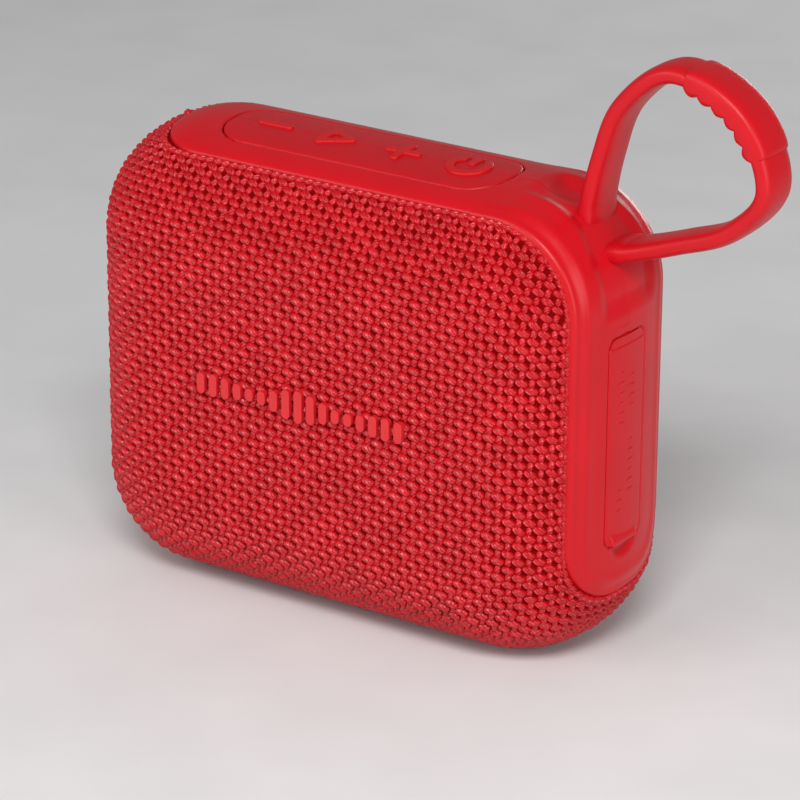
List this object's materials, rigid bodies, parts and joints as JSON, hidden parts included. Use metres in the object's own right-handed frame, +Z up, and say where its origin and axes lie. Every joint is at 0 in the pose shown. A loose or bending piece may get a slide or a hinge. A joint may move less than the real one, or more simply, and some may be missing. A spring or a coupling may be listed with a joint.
{
  "type": "portable speaker",
  "caption": "Palm-sized portable loudspeaker: rounded knitted box, silicone band with rubber keys, corner strap loop and side port cover.",
  "frame": {"origin": "middle of the rubber foot's underside, on the surface that the speaker stands on", "axes": "+X to the right seen from the front, -Y out of the front, +Z up"},
  "size_m": [0.1212, 0.0408, 0.1012],
  "materials": {
    "housing_plastic": "moulded ABS, fine spark texture",
    "knit_fabric": "coarse polyester grille knit, interlocking loops with a soft sheen",
    "silicone": "soft-touch silicone, satin",
    "key_rubber": "silicone keypad, satin, raised marks",
    "badge_plastic": "moulded bars, satin",
    "foot_rubber": "matt non-slip rubber",
    "seal_rubber": "soft black silicone",
    "steel": "zinc-plated steel",
    "basket_steel": "pressed steel, black coating",
    "paper_cone": "pressed paper pulp",
    "copper": "enamelled copper winding on a former",
    "spider_cloth": "resin-treated woven cotton",
    "magnet": "nickel-plated neodymium",
    "circuit_board": "solder-masked fibreglass",
    "component_black": "moulded epoxy",
    "shield_metal": "tinned shielding can",
    "cell_wrap": "laminated pouch",
    "foam": "open-cell foam",
    "wire_jacket": "PVC insulation",
    "flex_film": "polyimide film",
    "plate_metal": "anodised weight plate"
  },
  "bodies": {
    "speaker_body": {"front_housing": "housing_plastic", "rear_housing": "housing_plastic", "housing_seal": "seal_rubber", "housing_screws": "steel", "fabric_cover": "knit_fabric", "trim_band": "silicone", "front_badge": "badge_plastic", "foot_pad": "foot_rubber", "keypad_pad": "key_rubber", "key_board": "circuit_board", "key_switches": "component_black", "key_board_screws": "steel", "key_flex": "flex_film", "driver_basket": "basket_steel", "driver_gasket": "foam", "driver_surround": "seal_rubber", "driver_spider": "spider_cloth", "top_plate": "steel", "driver_magnet": "magnet", "magnet_yoke": "steel", "driver_screws": "steel", "driver_leads": "wire_jacket", "radiator_surround": "seal_rubber", "radiator_frame": "housing_plastic", "radiator_screws": "steel", "battery_cell": "cell_wrap", "battery_foam": "foam", "battery_leads": "wire_jacket", "main_board": "circuit_board", "main_board_screws": "steel", "bluetooth_module": "shield_metal", "amplifier_chip": "component_black", "board_capacitors": "component_black", "board_connectors": "component_black", "usb_c_receptacle": "shield_metal", "usb_gasket": "seal_rubber", "port_cover_anchor": "silicone", "strap_root": "silicone"},
    "minus_key": {"key_minus": "key_rubber"},
    "play_key": {"key_play": "key_rubber"},
    "plus_key": {"key_plus": "key_rubber"},
    "power_key": {"key_power": "key_rubber"},
    "cone": {"driver_cone": "paper_cone", "dust_cap": "paper_cone", "voice_coil": "copper"},
    "radiator": {"radiator_plate": "plate_metal"},
    "port_flap": {"port_cover": "silicone"},
    "strap": {"strap_loop": "silicone"}
  },
  "joints": [
    {"name": "minus_press", "type": "slide", "parent": "speaker_body", "child": "minus_key", "axis": [0, 0, -1], "range_m": [0, 0.00035], "stiffness_N_per_m": 1500},
    {"name": "play_press", "type": "slide", "parent": "speaker_body", "child": "play_key", "axis": [0, 0, -1], "range_m": [0, 0.00035], "stiffness_N_per_m": 1500},
    {"name": "plus_press", "type": "slide", "parent": "speaker_body", "child": "plus_key", "axis": [0, 0, -1], "range_m": [0, 0.00035], "stiffness_N_per_m": 1500},
    {"name": "power_press", "type": "slide", "parent": "speaker_body", "child": "power_key", "axis": [0, 0, -1], "range_m": [0, 0.00035], "stiffness_N_per_m": 1500},
    {"name": "cone_stroke", "type": "slide", "parent": "speaker_body", "child": "cone", "axis": [0, -1, 0], "range_m": [-0.001, 0.001], "stiffness_N_per_m": 1500, "deforming": ["driver_surround", "driver_spider"]},
    {"name": "radiator_stroke", "type": "slide", "parent": "speaker_body", "child": "radiator", "axis": [0, 1, 0], "range_m": [-0.0015, 0.0015], "stiffness_N_per_m": 800, "deforming": ["radiator_surround"]},
    {"name": "port_cover_swing", "type": "hinge", "parent": "speaker_body", "child": "port_flap", "pos_m": [0.048, 0, 0.0546], "axis": [0, -1, 0], "range_deg": [0, 100], "stiffness_Nm_per_rad": 0.001},
    {"name": "strap_lean", "type": "hinge", "parent": "speaker_body", "child": "strap", "pos_m": [0.04425, 0, 0.07225], "axis": [0.7071, 0, -0.7071], "range_deg": [-30, 30], "stiffness_Nm_per_rad": 0.02}
  ]
}
